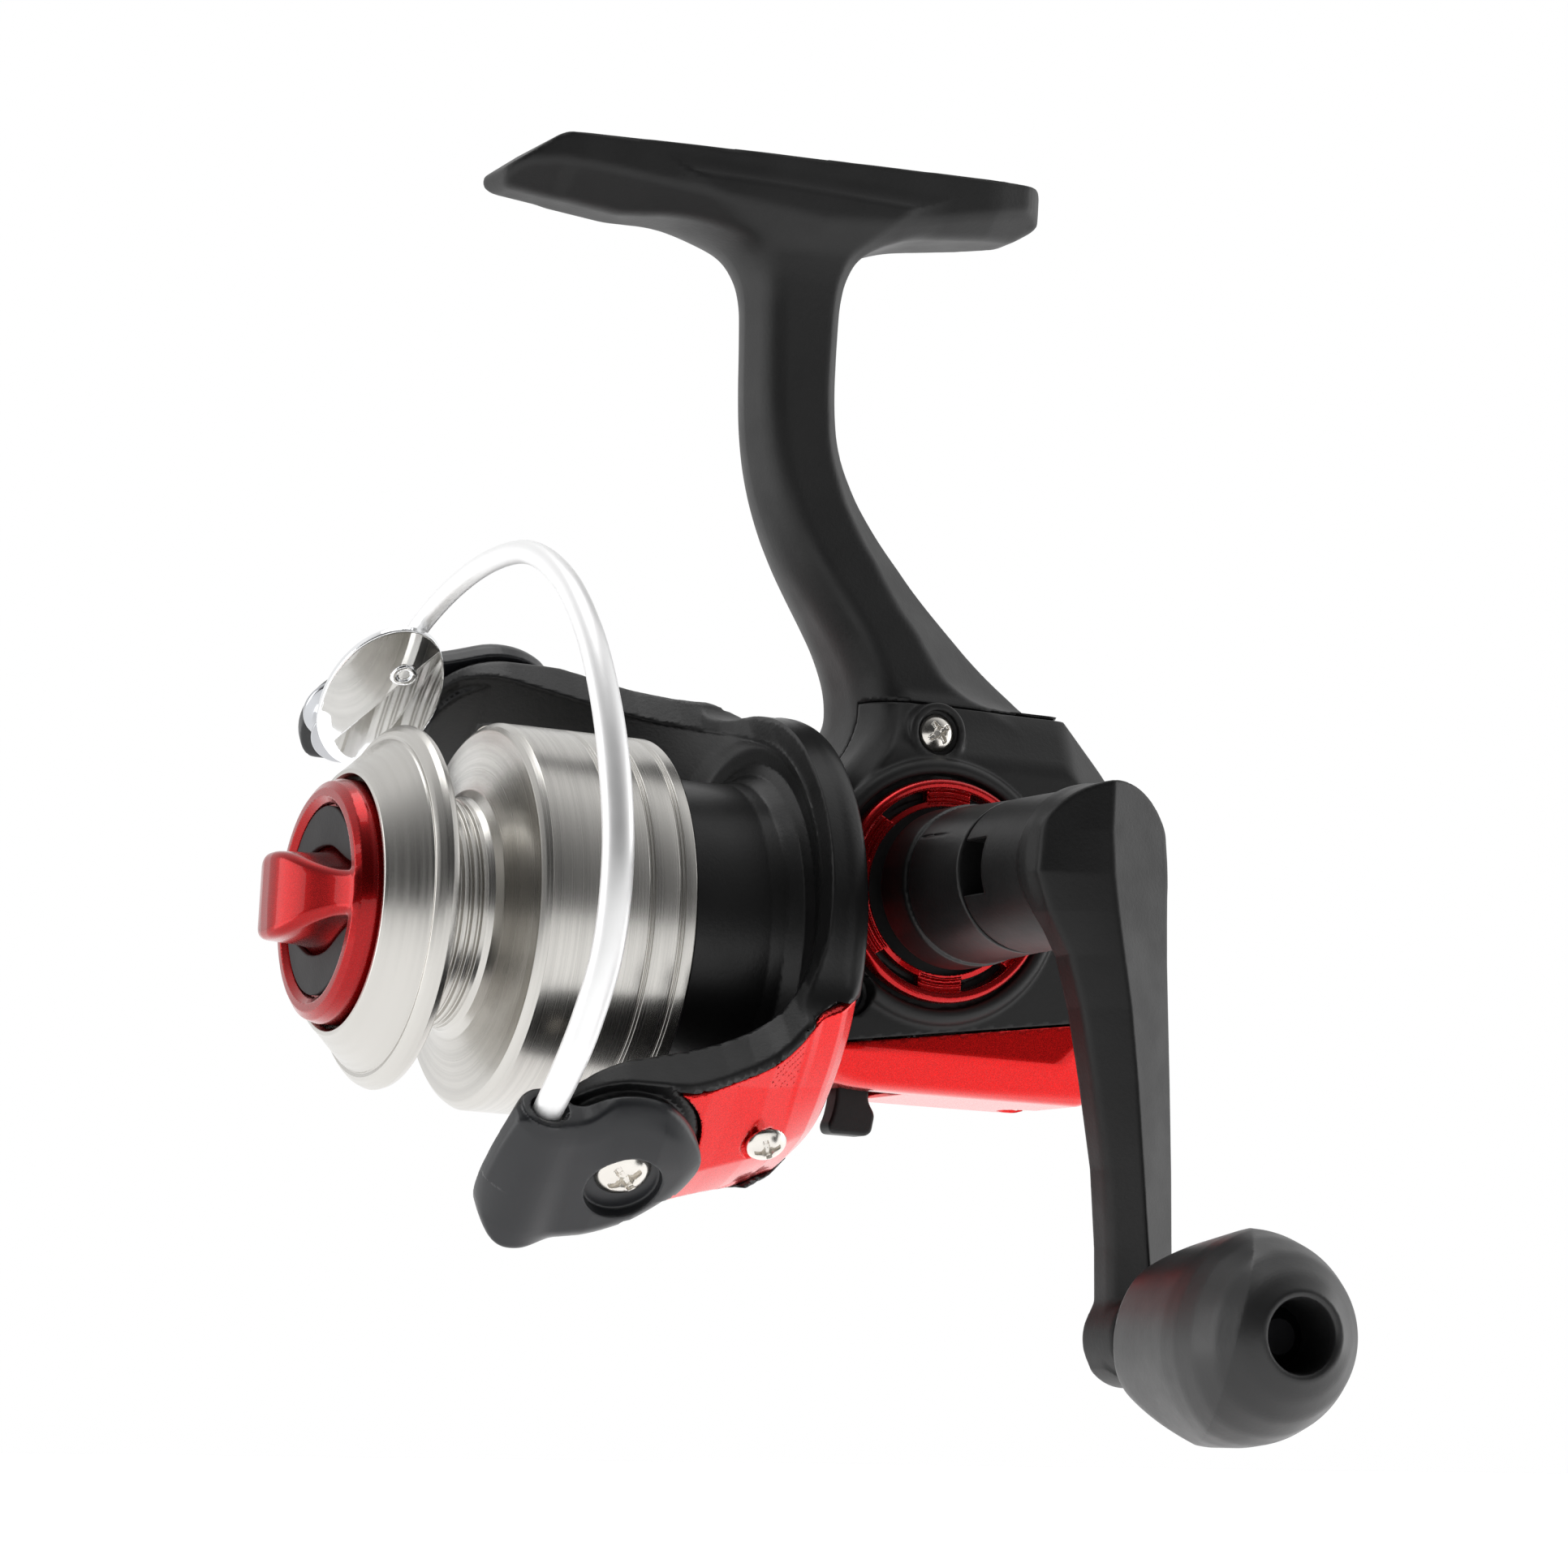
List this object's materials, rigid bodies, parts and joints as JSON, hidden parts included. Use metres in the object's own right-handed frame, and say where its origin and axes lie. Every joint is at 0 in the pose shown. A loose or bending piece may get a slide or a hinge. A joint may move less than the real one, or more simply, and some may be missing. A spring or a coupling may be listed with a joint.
{
  "type": "spinning reel",
  "caption": "Open-face spinning reel with a foot and stem, geared crank that turns a two-armed rotor, folding bail wire, sliding spool and front drag dial.",
  "frame": {"origin": "centre of the foot's flat seat, the face that lies against the rod", "axes": "+Z is the seat's outward normal, towards the rod; -Y points to the rod tip, nearly along the spool axis (it leans 2.38 degrees from it); +X is the crank side"},
  "size_m": [0.1045, 0.0913, 0.1259],
  "materials": {
    "black_plastic": "matte black moulded plastic with a fine grain",
    "charcoal_plastic": "satin charcoal moulded plastic",
    "red_lacquer": "glossy candy red with fine metallic flake",
    "spool_aluminium": "fine turned rings, satin",
    "wire_aluminium": "polished",
    "bright_chrome": "mirror",
    "plain_steel": "bright",
    "brass": "plain",
    "cast_zinc": "cast, matte",
    "grip_rubber": "soft matte",
    "felt": "pressed felt",
    "white_plastic": "natural"
  },
  "bodies": {
    "reel_body": {"main_frame": "black_plastic", "side_cover": "black_plastic", "side_cover_ring": "red_lacquer", "lower_cover": "red_lacquer", "cover_screw_top": "plain_steel", "cover_screw_rear": "plain_steel", "cover_screw_front": "plain_steel", "lower_cover_screw": "plain_steel", "drive_bearing_left": "plain_steel", "drive_bearing_right": "plain_steel", "pinion_bearing": "plain_steel", "guide_rod": "plain_steel"},
    "drive": {"drive_gear": "cast_zinc", "handle_shaft": "plain_steel", "handle_collar": "black_plastic", "handle_cap": "plain_steel", "fold_pin": "plain_steel"},
    "crank_arm": {"handle_crank": "black_plastic", "knob_rivet": "plain_steel"},
    "knob": {"handle_knob": "grip_rubber"},
    "rotor_body": {"rotor": "black_plastic", "pinion_gear": "brass", "rotor_nut": "plain_steel", "anti_reverse_ratchet": "plain_steel", "rotor_arm_cover_near": "red_lacquer", "rotor_arm_cover_far": "red_lacquer", "arm_cover_screw_near": "plain_steel", "arm_cover_screw_far": "plain_steel", "bail_screw_near": "plain_steel", "bail_screw_far": "plain_steel", "bail_spring": "plain_steel"},
    "bail": {"bail_holder_near": "charcoal_plastic", "bail_wire": "wire_aluminium", "roller_plate": "bright_chrome", "roller_pin": "plain_steel", "bail_arm_far": "charcoal_plastic"},
    "roller": {"line_roller": "bright_chrome"},
    "oscillation": {"oscillation_gear": "white_plastic"},
    "shaft": {"main_shaft": "plain_steel", "oscillation_slider": "cast_zinc", "slider_screw": "plain_steel", "click_gear": "white_plastic", "drag_washer_steel_a": "plain_steel", "drag_washer_steel_b": "plain_steel"},
    "spool_body": {"spool": "spool_aluminium", "clicker": "plain_steel", "drag_washer_felt_a": "felt", "drag_washer_felt_b": "felt", "drag_clip": "plain_steel"},
    "drag_screw": {"drag_thrust_washer": "brass"},
    "drag_dial": {"drag_knob": "red_lacquer", "drag_nut": "brass", "drag_inlay_upper": "grip_rubber", "drag_inlay_lower": "grip_rubber"},
    "stop_lever": {"anti_reverse_lever": "black_plastic"},
    "stop_pawl": {"anti_reverse_pawl": "plain_steel"}
  },
  "joints": [
    {"name": "crank_turn", "type": "hinge", "parent": "reel_body", "child": "drive", "pos_m": [0, 0.01245, -0.07258], "axis": [1, 0, 0], "continuous": true},
    {"name": "handle_fold", "type": "hinge", "parent": "drive", "child": "crank_arm", "pos_m": [0.0305, 0.01844, -0.07283], "axis": [0, 0.0415, 0.9991], "range_deg": [0, 90]},
    {"name": "knob_spin", "type": "hinge", "parent": "crank_arm", "child": "knob", "pos_m": [0.062, 0.01644, -0.11618], "axis": [1, 0, 0], "continuous": true},
    {"name": "rotor_turn", "type": "hinge", "parent": "reel_body", "child": "rotor_body", "pos_m": [0, -0.00777, -0.07734], "axis": [0, 0.9991, -0.0415], "continuous": true},
    {"name": "bail_flip", "type": "hinge", "parent": "rotor_body", "child": "bail", "pos_m": [0, -0.02405, -0.07667], "axis": [0.6691, -0.0309, -0.7425], "range_deg": [0, 110]},
    {"name": "line_roller_spin", "type": "hinge", "parent": "bail", "child": "roller", "pos_m": [-0.02059, -0.03769, -0.0556], "axis": [0.6691, -0.0309, -0.7425], "continuous": true},
    {"name": "oscillation_turn", "type": "hinge", "parent": "reel_body", "child": "oscillation", "pos_m": [-0.0059, 0.02112, -0.08075], "axis": [1, 0, 0], "continuous": true},
    {"name": "spool_slide", "type": "slide", "parent": "reel_body", "child": "shaft", "axis": [0, -0.9991, 0.0415], "range_m": [-0.004, 0.003]},
    {"name": "drag_slip", "type": "hinge", "parent": "shaft", "child": "spool_body", "pos_m": [0, -0.03275, -0.07631], "axis": [0, 0.9991, -0.0415], "continuous": true},
    {"name": "drag_feed", "type": "slide", "parent": "shaft", "child": "drag_screw", "axis": [0, 0.9991, -0.0415], "range_m": [-0.0005, 0.0005]},
    {"name": "drag_dial_turn", "type": "hinge", "parent": "drag_screw", "child": "drag_dial", "pos_m": [0, -0.04574, -0.07577], "axis": [0, 0.9991, -0.0415], "range_deg": [-360, 360]},
    {"name": "anti_reverse_switch", "type": "hinge", "parent": "reel_body", "child": "stop_lever", "pos_m": [0, 0.0059, -0.08572], "axis": [0, -0.9991, 0.0415], "range_deg": [0, 20]},
    {"name": "pawl_swing", "type": "hinge", "parent": "reel_body", "child": "stop_pawl", "pos_m": [-0.0068, -0.00187, -0.0848], "axis": [0, -0.9991, 0.0415], "range_deg": [0, 20]}
  ],
  "couplings": [
    {"joint": "rotor_turn", "follows": "crank_turn", "ratio": 5},
    {"joint": "oscillation_turn", "follows": "crank_turn", "ratio": -0.41667},
    {"joint": "drag_dial_turn", "follows": "drag_feed", "rad_per_m": 12566},
    {"joint": "pawl_swing", "follows": "anti_reverse_switch", "ratio": 1}
  ]
}
